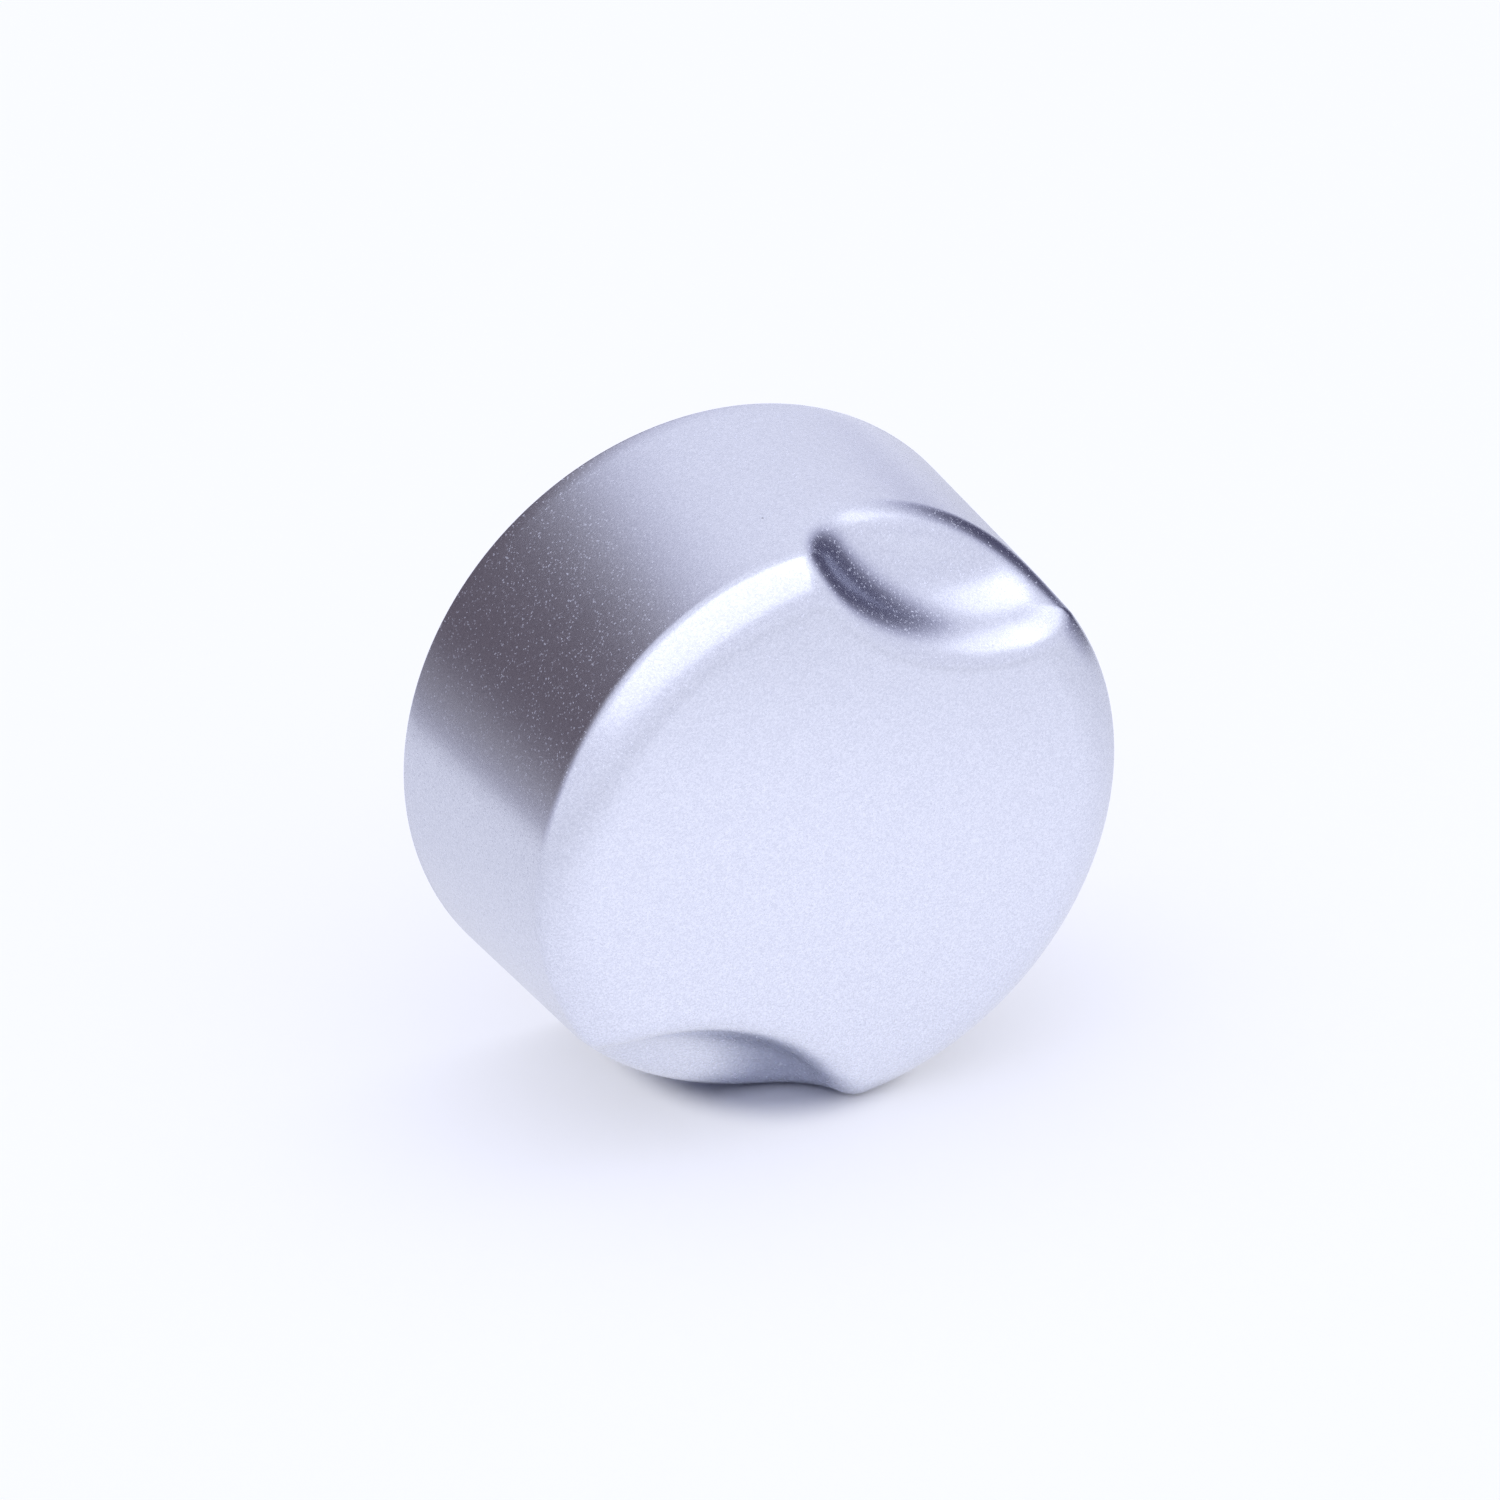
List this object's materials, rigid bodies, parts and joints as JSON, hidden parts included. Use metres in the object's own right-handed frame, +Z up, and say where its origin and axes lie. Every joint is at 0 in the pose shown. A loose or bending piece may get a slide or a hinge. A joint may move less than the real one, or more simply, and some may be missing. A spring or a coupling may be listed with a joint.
{
  "type": "control knob",
  "caption": "Round push-on control knob with a slightly domed face, a rounded border with a crisp front edge, opposite finger scoops, a hollow ribbed back and a split shaft socket closed by a spring ring.",
  "frame": {"origin": "on the knob's axis, where the round wall of the shaft socket begins", "axes": "+Y along the axis out of the socket's mouth, so the face looks towards -Y; +Z up; the scoops lean 25.5 degrees clockwise from +Z seen from the front"},
  "size_m": [0.04, 0.0199, 0.04],
  "materials": {
    "silver_paint": "satin metallic silver paint on moulded plastic",
    "spring_steel": "bright spring steel strip"
  },
  "bodies": {
    "root": {"knob_body": "silver_paint", "spring_ring": "spring_steel"}
  },
  "joints": []
}
